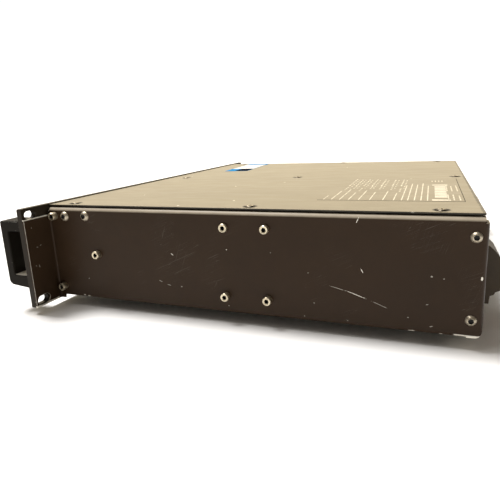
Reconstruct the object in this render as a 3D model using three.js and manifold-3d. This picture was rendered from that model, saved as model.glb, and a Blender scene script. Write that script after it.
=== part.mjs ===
// A two-unit 19-inch rack power amplifier: thick front panel, steel sides bent out into the rack ears,
// thin screwed-on cover, and the parts inside that make it work.
// Millimetres, +Z up, +X to the right seen from the front, the front panel facing -Y.
// The parts are drawn in a frame with Y = 0 on the plane where the ears meet the rack and Z = 0 at the
// panel's lower edge. The exported group then moves the object's bottom centre to the origin.

import * as THREE from "three";
import { mergeVertices } from "three/addons/utils/BufferGeometryUtils.js";
import Module from "manifold-3d";

const wasm = await Module();
wasm.setup();

// ---- driving dimensions ----

const GAP = 0.3; // clearance between pieces that meet

// rack panel
const RACK_WIDTH = 482.6;
const PANEL_HEIGHT = 88.1;
const PANEL_THICK = 4.8;
const RACK_SLOT_X = 232.55;
const RACK_SLOT_Z = [5.95, 82.15];
const RACK_SLOT_LENGTH = 12;
const RACK_SLOT_WIDTH = 6.8;
const EAR_SLOT_MARGIN = 1; // how far the ear's slot stands back from the panel's

// body
const BODY_HALF = 212.5;
const BODY_DEPTH = 355;
const BODY_BOTTOM = 3;
const FLANGE_TOP = 84.9;
const SIDE_SHEET = 1.5;
const THIN_SHEET = 1.5;
const WEB_INSIDE = BODY_HALF - SIDE_SHEET;
const TOP_FLANGE_EDGE = 191;
const BOTTOM_FLANGE_EDGE = 196;
const EAR_BOTTOM = 0.5;
const EAR_TOP = 78.8;
const FLOOR_PLATE = BODY_BOTTOM + SIDE_SHEET + GAP;
const INSIDE_FLOOR = FLOOR_PLATE + THIN_SHEET + GAP;

// cover and its screws
const COVER_BOTTOM = 86;
const COVER_THICK = 1.3;
const COVER_INSET = 2.5;
const COVER_TOP = COVER_BOTTOM + COVER_THICK;
const DIMPLE_DEPTH = 0.8;
const SCREW_HOLE = 2.3;
const EDGE_SCREW_X = 201.5;
const COVER_SCREWS = {
  front_left: [-EDGE_SCREW_X, 22.5],
  front_middle: [0, 23],
  front_right: [EDGE_SCREW_X, 22.5],
  centre_left: [-EDGE_SCREW_X, 190],
  centre_middle: [0, 172],
  centre_right: [EDGE_SCREW_X, 190],
  rear_left: [-EDGE_SCREW_X, 326.5],
  rear_middle: [0, 343],
  rear_right: [EDGE_SCREW_X, 326.5],
};

// handles
const HANDLE_X = [217, 236];
const HANDLE_Z = [15.5, 76.6];
const HANDLE_FRONT = -32.8;
const HANDLE_RISE = 2.4; // how much higher the lower leg's underside is at the grip than at the panel
const GRIP_THICK = 7.8;
const GRIP_OPENING_Z = [27.9, 67.4];

// feet
const FOOT_X = 170;
const FOOT_Y = [40, 315];
const FOOT_DROP = 9;
const FOOT_RADIUS = 11;
const FLOOR = BODY_BOTTOM - FOOT_DROP;

// front controls
const KNOB_X = { a: 40, b: 104 };
const KNOB_Z = 50;
const KNOB_LENGTH = 15;
const LENS_OFFSET = 32;
const ROCKER = { x: 180, z: 48, tilt: 8 };
const VENT = { first: -178, pitch: 9, count: 17, width: 4.5, z: 44, length: 48 };

// rear parts
const REAR_WALL = [351.2, 352.7];
const REAR_FACE = REAR_WALL[1] + GAP;
const FAN = { x: 28, z: 45, size: 70, depth: 25, bore: 33 };
const SOCKET_X = { a: -40, b: -72 };
const SOCKET_Z = 50;
const SWITCH = { x: -56, z: 18, travel: 5.5 };
const BREAKER = { x: -112, z: 45 };
const INLET = { x: 104, z: 45 };
const OUTPUT_X = { a: 158, b: -160 };
const OUTPUT_Z = 32.5;
const OUTPUT_WIDTH = 36;
const POST_PITCH = 19.05;
const POST_FACE = 368.5;
const CAP_LENGTH = 12.5;
const REAR_MOST = POST_FACE + GAP + CAP_LENGTH;

// inside
const TOROID = { x: -110, y: 95, inner: 20, outer: 62, low: INSIDE_FLOOR + 1, high: 67 };
const BRACE_Y = [166, 211];
const TUNNEL_Y = [215, 318];
const TUNNEL_HALF = 38;

// ---- building blocks ----

const MATERIALS = {
  panel: [0x2a241f, 0.5, 0.3],
  case: [0x33291f, 0.5, 0.4],
  handle: [0x241d18, 0.45, 0.4],
  plate: [0x9a9a96, 0.45, 0.8],
  screw: [0xb8b0a0, 0.35, 0.9],
  rubber: [0x141414, 0.9, 0],
  black_plastic: [0x17171a, 0.55, 0],
  red_plastic: [0x9c1c16, 0.45, 0],
  lens: [0x27301f, 0.2, 0],
  winding: [0x8a3a1a, 0.5, 0.2],
  aluminium: [0xa9abad, 0.4, 0.9],
  board: [0x1f5a33, 0.6, 0],
  capacitor: [0x1d2a4a, 0.4, 0.1],
};

const root = new THREE.Group();
root.position.set(0, -(HANDLE_FRONT + REAR_MOST) / 2, -FLOOR);

// Adds one named piece. Its material is its own, in the named finish.
function add(name, made, finish, [x, y, z] = [0, 0, 0]) {
  const [color, roughness, metalness] = MATERIALS[finish];
  const { vertProperties, triVerts } = made.getMesh();
  const indexed = new THREE.BufferGeometry();
  indexed.setAttribute("position", new THREE.BufferAttribute(vertProperties, 3));
  indexed.setIndex(new THREE.BufferAttribute(triVerts, 1));
  const geometry = indexed.toNonIndexed();
  geometry.computeVertexNormals();
  const mesh = new THREE.Mesh(geometry, new THREE.MeshStandardMaterial({ color, roughness, metalness }));
  mesh.name = name;
  mesh.position.set(x, y, z);
  root.add(mesh);
  return mesh;
}

// A closed geometry as a solid that can be joined and cut.
function solid(geometry) {
  geometry.deleteAttribute("normal");
  geometry.deleteAttribute("uv");
  const merged = mergeVertices(geometry, 1e-4);
  return new wasm.Manifold(
    new wasm.Mesh({
      numProp: 3,
      vertProperties: merged.attributes.position.array,
      triVerts: new Uint32Array(merged.index.array),
    }),
  );
}

const join = (first, ...others) => others.reduce((sum, other) => sum.add(other), first);
const cut = (first, ...others) => others.reduce((rest, other) => rest.subtract(other), first);

// A box from its low to its high side along each axis.
function block([x0, x1], [y0, y1], [z0, z1]) {
  const box = new THREE.BoxGeometry(x1 - x0, y1 - y0, z1 - z0);
  return solid(box.translate((x0 + x1) / 2, (y0 + y1) / 2, (z0 + z1) / 2));
}

// A round bar along one axis, at the given place on the other two, taken in x, y, z order.
function rod(axis, radius, [low, high], [p, q] = [0, 0], sides = 24) {
  const bar = new THREE.CylinderGeometry(radius, radius, high - low, sides);
  const middle = (low + high) / 2;
  if (axis === "x") return solid(bar.rotateZ(Math.PI / 2).translate(middle, p, q));
  if (axis === "z") return solid(bar.rotateX(Math.PI / 2).translate(p, q, middle));
  return solid(bar.translate(p, middle, q));
}

// A shape drawn in X and Z, thickened along Y.
function slabXZ(shape, [y0, y1], curveSegments = 3) {
  const slab = new THREE.ExtrudeGeometry(shape, { depth: y1 - y0, bevelEnabled: false, curveSegments });
  return solid(slab.rotateX(Math.PI / 2).translate(0, y1, 0));
}

// A shape drawn in X and Y, thickened along Z.
function slabXY(shape, [z0, z1], curveSegments = 3) {
  const slab = new THREE.ExtrudeGeometry(shape, { depth: z1 - z0, bevelEnabled: false, curveSegments });
  return solid(slab.translate(0, 0, z0));
}

// A shape drawn in Y and Z, thickened along X.
function slabYZ(shape, [x0, x1], curveSegments = 3) {
  const slab = new THREE.ExtrudeGeometry(shape, { depth: x1 - x0, bevelEnabled: false, curveSegments });
  const turn = new THREE.Matrix4().makeBasis(
    new THREE.Vector3(0, 1, 0),
    new THREE.Vector3(0, 0, 1),
    new THREE.Vector3(1, 0, 0),
  );
  return solid(slab.applyMatrix4(turn).translate(x0, 0, 0));
}

// A body turned about the Y axis, from [radius, y] points that run from low y to high y.
function turned(profile, sides = 24) {
  return solid(new THREE.LatheGeometry(profile.map(([r, y]) => new THREE.Vector2(r, y)), sides));
}

// The same body with its axis along Z.
function turnedUp(profile, sides = 24) {
  const points = profile.map(([r, z]) => new THREE.Vector2(r, z));
  return solid(new THREE.LatheGeometry(points, sides).rotateX(Math.PI / 2));
}

// A rectangle with round corners, as a shape or as the edge of a hole.
function roundedRect([u0, u1], [v0, v1], radius, Kind = THREE.Shape) {
  const shape = new Kind();
  shape.moveTo(u0 + radius, v0);
  shape.lineTo(u1 - radius, v0);
  shape.absarc(u1 - radius, v0 + radius, radius, -Math.PI / 2, 0, false);
  shape.lineTo(u1, v1 - radius);
  shape.absarc(u1 - radius, v1 - radius, radius, 0, Math.PI / 2, false);
  shape.lineTo(u0 + radius, v1);
  shape.absarc(u0 + radius, v1 - radius, radius, Math.PI / 2, Math.PI, false);
  shape.lineTo(u0, v0 + radius);
  shape.absarc(u0 + radius, v0 + radius, radius, Math.PI, 1.5 * Math.PI, false);
  return shape;
}

// Points along an arc about (u, v), between two angles in degrees.
function arcPoints(u, v, radius, from, to, steps) {
  const points = [];
  for (let i = 0; i <= steps; i++) {
    const angle = THREE.MathUtils.degToRad(from + ((to - from) * i) / steps);
    points.push(new THREE.Vector2(u + radius * Math.cos(angle), v + radius * Math.sin(angle)));
  }
  return points;
}

// A hole with half-round ends, centred on (u, v), long along u or upright.
function slotHole(u, v, length, width, { upright = false, steps = 8 } = {}) {
  const radius = width / 2;
  const reach = length / 2 - radius;
  const [du, dv] = upright ? [0, reach] : [reach, 0];
  const start = upright ? 0 : -90;
  return new THREE.Path([
    ...arcPoints(u + du, v + dv, radius, start, start + 180, steps),
    ...arcPoints(u - du, v - dv, radius, start + 180, start + 360, steps),
  ]);
}

function roundHole(u, v, radius, sides = 20) {
  return new THREE.Path(arcPoints(u, v, radius, 0, 360, sides).slice(1));
}

// The range of a given width about its middle.
const span = (middle, width) => [middle - width / 2, middle + width / 2];

// ---- case ----

function ventHoles() {
  const holes = [];
  for (let i = 0; i < VENT.count; i++) {
    const x = VENT.first + i * VENT.pitch;
    holes.push(slotHole(x, VENT.z, VENT.length, VENT.width, { upright: true, steps: 4 }));
  }
  return holes;
}

function rackHoles() {
  return [-RACK_SLOT_X, RACK_SLOT_X].flatMap((x) =>
    RACK_SLOT_Z.map((z) => slotHole(x, z, RACK_SLOT_LENGTH, RACK_SLOT_WIDTH)),
  );
}

function frontPanel() {
  const outline = roundedRect([-RACK_WIDTH / 2, RACK_WIDTH / 2], [0, PANEL_HEIGHT], 1.5);
  outline.holes.push(...rackHoles(), ...ventHoles());
  for (const x of Object.values(KNOB_X)) {
    outline.holes.push(roundHole(x, KNOB_Z, 4.5));
    outline.holes.push(roundedRect(span(x + LENS_OFFSET, 6), span(KNOB_Z, 22), 1, THREE.Path));
  }
  outline.holes.push(roundedRect(span(ROCKER.x, 15), span(ROCKER.z, 25), 1, THREE.Path));
  return slabXZ(outline, [-PANEL_THICK, 0], 1);
}

// A C-shaped bar seen from its side. Its lower leg thickens towards the panel.
function handle() {
  const back = -PANEL_THICK - GAP;
  const [low, high] = HANDLE_Z;
  const [openLow, openHigh] = GRIP_OPENING_Z;
  const upperCorner = 2;
  const lowerCorner = 5;
  const inner = 1.5;
  const grip = HANDLE_FRONT + GRIP_THICK;
  const side = new THREE.Shape();
  side.moveTo(back, low);
  side.lineTo(back, openLow);
  side.lineTo(grip + inner, openLow);
  side.absarc(grip + inner, openLow + inner, inner, 1.5 * Math.PI, Math.PI, true);
  side.lineTo(grip, openHigh - inner);
  side.absarc(grip + inner, openHigh - inner, inner, Math.PI, Math.PI / 2, true);
  side.lineTo(back, openHigh);
  side.lineTo(back, high);
  side.lineTo(HANDLE_FRONT + upperCorner, high);
  side.absarc(HANDLE_FRONT + upperCorner, high - upperCorner, upperCorner, Math.PI / 2, Math.PI, false);
  side.lineTo(HANDLE_FRONT, low + HANDLE_RISE + lowerCorner);
  const centre = [HANDLE_FRONT + lowerCorner, low + HANDLE_RISE + lowerCorner];
  side.absarc(...centre, lowerCorner, Math.PI, 1.5 * Math.PI, false);
  return slabYZ(side, HANDLE_X);
}

// The right side seen from behind: web, rounded top bend and tighter bottom bend.
function sideChannel([front, rear]) {
  const topBend = 3.5;
  const bottomBend = 2.5;
  const section = new THREE.Shape();
  section.moveTo(BOTTOM_FLANGE_EDGE, BODY_BOTTOM);
  section.lineTo(BODY_HALF - bottomBend, BODY_BOTTOM);
  section.absarc(BODY_HALF - bottomBend, BODY_BOTTOM + bottomBend, bottomBend, -Math.PI / 2, 0, false);
  section.lineTo(BODY_HALF, FLANGE_TOP - topBend);
  section.absarc(BODY_HALF - topBend, FLANGE_TOP - topBend, topBend, 0, Math.PI / 2, false);
  section.lineTo(TOP_FLANGE_EDGE, FLANGE_TOP);
  section.lineTo(TOP_FLANGE_EDGE, FLANGE_TOP - SIDE_SHEET);
  section.lineTo(BODY_HALF - topBend, FLANGE_TOP - SIDE_SHEET);
  section.absarc(BODY_HALF - topBend, FLANGE_TOP - topBend, topBend - SIDE_SHEET, Math.PI / 2, 0, true);
  section.lineTo(WEB_INSIDE, BODY_BOTTOM + SIDE_SHEET);
  section.lineTo(BOTTOM_FLANGE_EDGE, BODY_BOTTOM + SIDE_SHEET);
  return slabXZ(section, [front, rear]);
}

// The front bend, where the web turns outwards into the rack ear.
function earBend() {
  const inner = 1.5;
  const x = BODY_HALF + inner;
  const y = SIDE_SHEET + inner;
  const outer = inner + SIDE_SHEET;
  const plan = new THREE.Shape();
  plan.moveTo(RACK_WIDTH / 2, 0);
  plan.lineTo(RACK_WIDTH / 2, SIDE_SHEET);
  plan.lineTo(x, SIDE_SHEET);
  plan.absarc(x, y, inner, 1.5 * Math.PI, Math.PI, true);
  plan.lineTo(BODY_HALF, y + 3);
  plan.lineTo(WEB_INSIDE, y + 3);
  plan.lineTo(WEB_INSIDE, y);
  plan.absarc(x, y, outer, Math.PI, 1.5 * Math.PI, false);
  const ear = slabXY(plan, [EAR_BOTTOM, EAR_TOP]);
  const wider = 2 * EAR_SLOT_MARGIN;
  const slot = slotHole(RACK_SLOT_X, RACK_SLOT_Z[0], RACK_SLOT_LENGTH + wider, RACK_SLOT_WIDTH + wider);
  return cut(ear, slabXZ(new THREE.Shape(slot.getPoints()), [-1, SIDE_SHEET + 1]));
}

// The rear bend, where the web turns inwards round the rear panel's edge.
function rearBend(top) {
  const outer = 4;
  const inner = outer - SIDE_SHEET;
  const x = BODY_HALF - outer;
  const y = BODY_DEPTH - outer;
  const plan = new THREE.Shape();
  plan.moveTo(BODY_HALF, y - 6);
  plan.lineTo(BODY_HALF, y);
  plan.absarc(x, y, outer, 0, Math.PI / 2, false);
  plan.lineTo(x - 10, BODY_DEPTH);
  plan.lineTo(x - 10, BODY_DEPTH - SIDE_SHEET);
  plan.lineTo(x, BODY_DEPTH - SIDE_SHEET);
  plan.absarc(x, y, inner, Math.PI / 2, 0, true);
  plan.lineTo(WEB_INSIDE, y - 6);
  return slabXY(plan, [BODY_BOTTOM, top]);
}

// The wedge outside a round lower rear corner.
function rearCornerWedge() {
  const radius = 5.5;
  const y = BODY_DEPTH - radius;
  const z = BODY_BOTTOM + radius;
  const width = [TOP_FLANGE_EDGE, BODY_HALF + 1];
  return cut(block(width, [y, BODY_DEPTH + 1], [BODY_BOTTOM - 1, z]), rod("x", radius, width, [y, z], 32));
}

function sidePanel() {
  const rearBendTop = 81;
  const inward = [TOP_FLANGE_EDGE - 1, BODY_HALF + 1];
  const channel = cut(
    sideChannel([1, BODY_DEPTH - COVER_INSET]),
    block(inward, [0, 5], [0, EAR_TOP]),
    block(inward, [BODY_DEPTH - 4, BODY_DEPTH], [0, rearBendTop]),
  );
  const screwHoles = Object.values(COVER_SCREWS)
    .filter(([x]) => x > 0)
    .map(([x, y]) => rod("z", SCREW_HOLE, [FLANGE_TOP - 3, FLANGE_TOP + 1], [x, y], 10));
  return cut(join(channel, earBend(), rearBend(rearBendTop)), rearCornerWedge(), ...screwHoles);
}

// A flat sheet with its front and rear edges turned up.
function bottomPlate() {
  const half = WEB_INSIDE - 1.5;
  const front = GAP + THIN_SHEET + 2;
  const rear = REAR_WALL[0] - 1;
  const lip = FLOOR_PLATE + 4.5;
  const side = new THREE.Shape();
  side.moveTo(front, FLOOR_PLATE);
  side.lineTo(rear, FLOOR_PLATE);
  side.lineTo(rear, lip);
  side.lineTo(rear - THIN_SHEET, lip);
  side.lineTo(rear - THIN_SHEET, FLOOR_PLATE + THIN_SHEET);
  side.lineTo(front + THIN_SHEET, FLOOR_PLATE + THIN_SHEET);
  side.lineTo(front + THIN_SHEET, lip);
  side.lineTo(front, lip);
  return slabYZ(side, [-half, half]);
}

// The cover sinks into a shallow cone round each screw.
function topCover() {
  const half = BODY_HALF - COVER_INSET;
  const sheet = block([-half, half], [GAP, BODY_DEPTH - COVER_INSET], [COVER_BOTTOM, COVER_TOP]);
  const bottom = -COVER_THICK - DIMPLE_DEPTH;
  const cone = [[0, bottom], [4.6, bottom], [6.6, -COVER_THICK / 2], [0, -COVER_THICK / 2]];
  const bowl = [[0, -DIMPLE_DEPTH], [4.2, -DIMPLE_DEPTH], [7.35, 1], [0, 1]];
  const places = Object.values(COVER_SCREWS);
  const sunk = places.map(([x, y]) => turnedUp(cone, 12).translate([x, y, COVER_TOP]));
  const cuts = places.flatMap(([x, y]) => [
    turnedUp(bowl, 12).translate([x, y, COVER_TOP]),
    rod("z", SCREW_HOLE, [COVER_BOTTOM - 3, COVER_TOP + 1], [x, y], 8),
  ]);
  return cut(join(sheet, ...sunk), ...cuts);
}

// A low domed head on a short shank, about its seat.
function coverScrew() {
  return turnedUp([[0, -5.5], [1.9, -5.5], [1.9, 0.1], [3.5, 0.1], [3.2, 0.9], [0, 1.5]], 12);
}

// A wall behind the panel with a flange at the top and one at the bottom.
// The wall is wide between the side sheets and narrow where their flanges are.
function crossWall([y0, y1], topReach, bottomReach) {
  const narrow = TOP_FLANGE_EDGE - GAP;
  const wide = WEB_INSIDE - 4.5;
  const top = FLANGE_TOP - THIN_SHEET;
  const foot = FLOOR_PLATE - GAP - THIN_SHEET;
  return join(
    block([-wide, wide], [y0, y1], [FLOOR_PLATE, top - 1]),
    block([-narrow, narrow], [y0, y1], [foot, FLANGE_TOP]),
    block([-narrow, narrow], topReach, [top, FLANGE_TOP]),
    block([-narrow, narrow], bottomReach, [foot, foot + THIN_SHEET]),
  );
}

function frontRail() {
  const wall = [GAP, GAP + THIN_SHEET];
  const through = [wall[0] - 1, wall[1] + 1];
  const vents = block([VENT.first - 4, VENT.first + VENT.pitch * (VENT.count - 1) + 4], through, [16, 72]);
  const controls = Object.values(KNOB_X).flatMap((x) => [
    rod("y", 4.5, through, [x, KNOB_Z], 20),
    block(span(x + LENS_OFFSET, 6), through, span(KNOB_Z, 22)),
  ]);
  const rocker = block(span(ROCKER.x, 15), through, span(ROCKER.z, 25));
  const [x, y] = COVER_SCREWS.front_middle;
  const screw = rod("z", SCREW_HOLE, [FLANGE_TOP - 3, FLANGE_TOP + 1], [x, y], 10);
  return cut(crossWall(wall, [wall[0], 34], [wall[0], 16]), vents, ...controls, rocker, screw);
}

function rearPanel() {
  const [front, rear] = REAR_WALL;
  const through = [front - 1, rear + 1];
  const holes = [
    rod("y", FAN.bore, through, [FAN.x, FAN.z], 40),
    block(span(INLET.x, 29), through, span(INLET.z, 21)),
    rod("y", 5.8, through, [BREAKER.x, BREAKER.z], 20),
    block(span(SWITCH.x, 12), through, span(SWITCH.z, 5.8)),
  ];
  for (const x of Object.values(SOCKET_X)) holes.push(rod("y", 12.2, through, [x, SOCKET_Z], 28));
  for (const x of Object.values(OUTPUT_X)) holes.push(block(span(x, 32), through, span(OUTPUT_Z, 16)));
  const [x, y] = COVER_SCREWS.rear_middle;
  holes.push(rod("z", SCREW_HOLE, [FLANGE_TOP - 3, FLANGE_TOP + 1], [x, y], 10));
  return cut(crossWall(REAR_WALL, [330, rear], [340, rear]), ...holes);
}

// A bulkhead across the middle, screwed to both sides through its end plates.
function centreBrace() {
  const [front, rear] = BRACE_Y;
  const narrow = TOP_FLANGE_EDGE - GAP;
  const wide = WEB_INSIDE - GAP;
  const top = FLANGE_TOP - THIN_SHEET;
  const web = [front, front + THIN_SHEET];
  const through = [front - 1, front + THIN_SHEET + 1];
  const [x, y] = COVER_SCREWS.centre_middle;
  const body = join(
    block([-wide, wide], web, [INSIDE_FLOOR, 80]),
    block([-narrow, narrow], web, [INSIDE_FLOOR, FLANGE_TOP]),
    block([-narrow, narrow], BRACE_Y, [top, FLANGE_TOP]),
    block([wide - THIN_SHEET, wide], [front, rear], [INSIDE_FLOOR, 80]),
    block([-wide, THIN_SHEET - wide], [front, rear], [INSIDE_FLOOR, 80]),
  );
  return cut(
    body,
    block(span(FAN.x, 72), through, [12, 76]),
    block([-180, -40], through, [30, 66]),
    block([96, 180], through, [30, 66]),
    rod("z", SCREW_HOLE, [top - 1, FLANGE_TOP + 1], [x, y], 10),
  );
}

// A soft tapered foot with a well for its screw, from the floor upwards.
function foot() {
  const top = FLOOR_PLATE - GAP - FLOOR;
  const wide = FOOT_RADIUS;
  return turnedUp(
    [[0, 5], [4.5, 5], [4.5, 0], [wide - 2, 0], [wide - 1.2, 0.8], [wide, top], [0, top]],
    16,
  );
}

// ---- front controls ----

// A skirted knob with a raised pointer, its back at y = 0 and its face towards -Y.
function gainKnob() {
  const face = -KNOB_LENGTH;
  const body = turned(
    [
      [0, face], [8.6, face], [9.6, face + 1], [10, -3.5], [12, -2.6],
      [12, 0], [3.3, 0], [3.3, face + 4], [0, face + 4],
    ],
    24,
  );
  return join(body, block([-0.7, 0.7], [face - 0.5, face + 2], [2, 10.4]));
}

function gainPot() {
  const can = turned([[0, 8], [3.4, 8], [3.4, 0], [8.2, 0], [8.2, 10], [0, 10]], 16);
  return join(can, block([-6, 6], [2, 8], [-15, -6]));
}

// A frame on the panel and a case behind it, hollow in front for the rocker.
function switchCase() {
  const hollow = block(span(0, 11.2), [-8, 8], span(0, 21.4));
  const seat = -PANEL_THICK - GAP;
  const bezel = slabXZ(roundedRect(span(0, 18), span(0, 28), 1.5), [seat - 2, seat]);
  const body = block(span(0, 14.2), [seat - 1, 20], span(0, 24.2));
  const tabs = [-8, 0, 8].map((z) => block([-3, 3], [19, 28], span(z, 0.8)));
  return cut(join(bezel, body, ...tabs), hollow);
}

// A rocker about its pivot at the origin, with a shallow V for a face, tilted to its off side.
function rocker() {
  const side = new THREE.Shape();
  side.moveTo(-4, 9.4);
  side.lineTo(-2, 0);
  side.lineTo(-4, -9.4);
  side.lineTo(1, -8.8);
  side.lineTo(3, 0);
  side.lineTo(1, 8.8);
  return slabYZ(side, span(0, 10.4));
}

const indicatorLens = () => slabXZ(roundedRect(span(0, 5.4), span(0, 21.4), 1), [-PANEL_THICK - 0.5, 3], 1);

// ---- inside ----

// A closed ring with rounded edges.
function toroid() {
  const { inner, outer, low, high } = TOROID;
  const edge = 9;
  const section = roundedRect([inner, outer], [low, high], edge).getPoints(1);
  const ring = new THREE.LatheGeometry(section.concat(section[0]), 28);
  return solid(ring.rotateX(Math.PI / 2));
}

// A dished washer with its bolt, which goes down through the ring.
function toroidClamp() {
  const seat = TOROID.high + GAP;
  return turnedUp(
    [
      [0, INSIDE_FLOOR], [4, INSIDE_FLOOR], [4, seat], [34, seat], [34, seat + 2],
      [12, seat + 2], [7, seat + 3], [7, seat + 8], [0, seat + 8],
    ],
    16,
  );
}

// A finned extrusion: its base stands beside the air tunnel and its fins reach into it.
function heatsink() {
  const fins = 9;
  const thick = 2;
  const low = 10;
  const high = 79;
  const pitch = (high - low - thick) / (fins - 1);
  const base = TUNNEL_HALF + 6;
  const tip = 5;
  const section = new THREE.Shape();
  section.moveTo(base, low);
  section.lineTo(base, high);
  for (let i = fins - 1; i >= 0; i--) {
    const z = low + i * pitch;
    section.lineTo(tip, z + thick);
    section.lineTo(tip, z);
    if (i > 0) {
      section.lineTo(TUNNEL_HALF, z);
      section.lineTo(TUNNEL_HALF, z - pitch + thick);
    }
  }
  return slabXZ(section, TUNNEL_Y);
}

// A circuit board on four posts, with its larger parts standing on it.
function boardOnPosts([x0, x1], [y0, y1], parts) {
  const low = INSIDE_FLOOR + 8;
  const top = low + 1.6;
  const posts = [x0 + 6, x1 - 6].flatMap((x) =>
    [y0 + 6, y1 - 6].map((y) => rod("z", 3, [INSIDE_FLOOR, low + 0.5], [x, y], 8)),
  );
  const standing = parts.map(([x, y, w, d, h]) => block(span(x, w), span(y, d), [top - 0.5, top + h]));
  return join(block([x0, x1], [y0, y1], [low, top]), ...posts, ...standing);
}

function capacitor() {
  return turnedUp([[0, 0], [25, 0], [25, 56], [24, 57], [0, 57]], 20);
}

// A square bridge with four tabs.
function rectifier() {
  const tabs = [-9, 9].flatMap((x) => [-9, 9].map((y) => block(span(x, 0.8), span(y, 6), [9, 20])));
  return join(block([-14, 14], [-14, 14], [0, 10]), ...tabs);
}

// An upright board behind the input sockets.
function inputBoard() {
  const board = block([-90, -22], [328.4, 330], [12, 76]);
  const chips = [-75, -56, -37].map((x) => block(span(x, 12), [325, 329], span(24, 8)));
  return join(board, ...chips);
}

// ---- rear ----

function fanFrame() {
  const half = FAN.size / 2;
  const outline = roundedRect([-half, half], [-half, half], 4);
  outline.holes.push(roundHole(0, 0, FAN.bore, 28));
  const depth = [0, FAN.depth];
  const ring = slabXZ(outline, depth, 1);
  const hub = rod("y", 14, [0, 3], [0, 0], 16);
  const arms = [0, 1, 2].map((i) => {
    const arm = block([10, FAN.bore + 1], [0, 2.5], span(0, 4));
    return arm.rotate([0, 30 + 120 * i, 0]);
  });
  return join(ring, hub, ...arms);
}

// A drum with seven pitched blades, about its own axis.
function fanRotor() {
  const hub = turned([[0, -9], [15, -9], [15, 8], [14, 9], [0, 9]], 16);
  const blades = [];
  for (let i = 0; i < 7; i++) {
    const blade = block([13, 31], span(0, 19), span(0, 1.4));
    blades.push(blade.rotate([42, 0, 0]).rotate([0, (360 / 7) * i, 0]));
  }
  return join(hub, ...blades);
}

// Flat rings on a cross of bars, with an eye at each corner of the fan.
function fanGuard() {
  const depth = [0, 1.6];
  const ring = (radius) => {
    const outline = new THREE.Shape();
    outline.setFromPoints(arcPoints(0, 0, radius + 1, 0, 360, 20).slice(1));
    outline.holes.push(roundHole(0, 0, radius - 1));
    return slabXZ(outline, depth);
  };
  const eyeReach = Math.hypot(30.5, 30.5);
  const bars = [45, 135].map((turn) => block([-eyeReach, eyeReach], depth, [-1, 1]).rotate([0, turn, 0]));
  const eyes = [-30.5, 30.5].flatMap((x) => [-30.5, 30.5].map((z) => rod("y", 3.5, depth, [x, z], 8)));
  return join(...[12, 24, 36].map(ring), ...bars, ...eyes);
}

// A square flange and a round shell, with a three-hole insert standing inside it.
function inputSocket() {
  const flange = slabXZ(roundedRect(span(0, 26), span(0, 31), 3), [0, 2.2], 1);
  const shell = rod("y", 11.8, [-20, 1], [0, 0], 20);
  const bore = rod("y", 9.6, [-12, 3], [0, 0], 20);
  const insert = rod("y", 7.4, [-13, 1.6], [0, 0], 16);
  const contacts = [90, 210, 330].map((turn) => {
    const angle = THREE.MathUtils.degToRad(turn);
    return rod("y", 1.3, [-9, 3], [4 * Math.cos(angle), 4 * Math.sin(angle)], 6);
  });
  return cut(join(cut(join(flange, shell), bore), insert), ...contacts);
}

// A flanged appliance inlet: a deep recess with two lower corners cut off and three flat pins.
function mainsInlet() {
  const flange = slabXZ(roundedRect(span(0, 50), span(0, 23), 4), [0, 2.5], 1);
  const body = block(span(0, 28), [-22, 1], span(0, 20));
  const recess = new THREE.Shape();
  recess.moveTo(-12.2, 8.2);
  recess.lineTo(12.2, 8.2);
  recess.lineTo(12.2, -3.2);
  recess.lineTo(7.2, -8.2);
  recess.lineTo(-7.2, -8.2);
  recess.lineTo(-12.2, -3.2);
  const pins = [[-7, -2], [0, 2], [7, -2]].map(([x, z]) => block(span(x, 2), [-17, -3], span(z, 4)));
  return join(cut(join(flange, body), slabXZ(recess, [-16, 3])), ...pins);
}

// A resettable breaker: case behind the panel, threaded neck through it, round nut outside.
function breakerBody() {
  const can = block(span(0, 15), [-26, -REAR_FACE + REAR_WALL[0] - GAP], span(0, 28));
  const neck = rod("y", 5.5, [-6, 6], [0, 0], 20);
  const nut = rod("y", 8, [0, 2.6], [0, 0], 6);
  const bore = rod("y", 4, [-18, 7], [0, 0], 20);
  return cut(join(can, neck, nut), bore);
}

const breakerButton = () => turned([[0, -14], [3.6, -14], [3.6, 7.6], [2.8, 8.4], [0, 8.6]], 20);

function modeSwitch() {
  const front = REAR_WALL[0] - GAP;
  return cut(
    block(span(0, 24), [front - 11, front], span(0, 10)),
    block(span(0, 11), [front - 6, front + 1], span(0, 5)),
  );
}

// Ribbed slider, with its grip outside the panel.
function modeSlider() {
  const stem = block(span(0, 5), [REAR_WALL[0] - 5, REAR_FACE + 1.4], span(0, 4.4));
  const depth = [REAR_FACE + 0.9, REAR_FACE + 2];
  const grooves = [-1.25, 1.25].map((x) => block(span(x, 0.6), depth, span(0, 6)));
  return cut(stem, ...grooves);
}

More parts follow.
